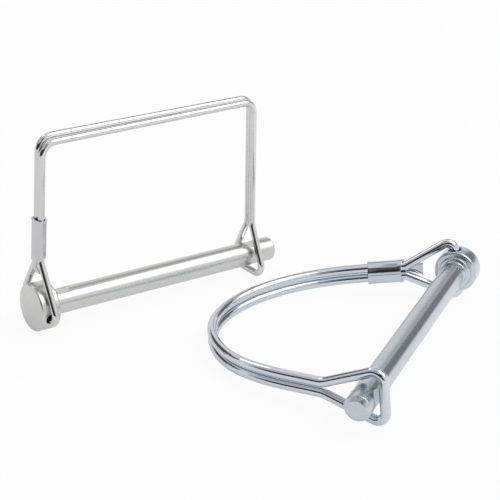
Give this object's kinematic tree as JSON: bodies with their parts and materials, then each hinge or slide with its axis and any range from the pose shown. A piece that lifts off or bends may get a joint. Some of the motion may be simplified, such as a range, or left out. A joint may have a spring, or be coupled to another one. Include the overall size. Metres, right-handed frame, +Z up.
{
  "type": "wire lock pin pair",
  "caption": "Two zinc-plated wire lock pins for hitches and couplings: headed pins with hinged double-wire bails, one square and one round, that snap over the tip.",
  "frame": {"origin": "middle of both locks' footprint, on the floor they rest on", "axes": "+X along the square lock's pin towards its tip, +Z up along the square bail, +Y from the round lock towards the square one"},
  "size_m": [0.1332, 0.1206, 0.0629],
  "materials": {
    "square_pin_zinc": "clear zinc plating on turned steel, satin",
    "square_wire_zinc": "clear zinc plating on drawn spring wire, bright",
    "square_ferrule_zinc": "clear zinc plating on crimped sheet, bright",
    "round_pin_zinc": "blue-white zinc plating on turned steel, satin",
    "round_wire_zinc": "blue-white zinc plating on drawn spring wire, bright",
    "round_ferrule_zinc": "blue-white zinc plating on crimped sheet, bright"
  },
  "bodies": {
    "pins": {"square_lock_pin": "square_pin_zinc", "round_lock_pin": "round_pin_zinc"},
    "square_bail": {"square_bail_hinge_side": "square_wire_zinc", "square_ferrule": "square_ferrule_zinc"},
    "square_loop": {"square_bail_loop_side": "square_wire_zinc"},
    "round_bail": {"round_bail_hinge_side": "round_wire_zinc", "round_ferrule": "round_ferrule_zinc"},
    "round_loop": {"round_bail_loop_side": "round_wire_zinc"}
  },
  "joints": [
    {"name": "square_bail_swing", "type": "hinge", "parent": "pins", "child": "square_bail", "pos_m": [-0.06333, 0.05058, 0.00764], "axis": [0.0033, 0.9724, 0.2334], "range_deg": [0, 0.8]},
    {"name": "square_bail_snap", "type": "hinge", "parent": "square_bail", "child": "square_loop", "pos_m": [0.02202, 0.05058, 0.05602], "axis": [0, -1, 0], "range_deg": [0, 12.5], "stiffness_Nm_per_rad": 5},
    {"name": "round_bail_swing", "type": "hinge", "parent": "pins", "child": "round_bail", "pos_m": [0.06046, -0.00523, 0.01015], "axis": [-0.1102, 0.1495, 0.9826], "range_deg": [0, 0.8]},
    {"name": "round_bail_snap", "type": "hinge", "parent": "round_bail", "child": "round_loop", "pos_m": [-0.04216, -0.02321, 0.00475], "axis": [0.0656, -0.0755, -0.995], "range_deg": [0, 15], "stiffness_Nm_per_rad": 4}
  ]
}
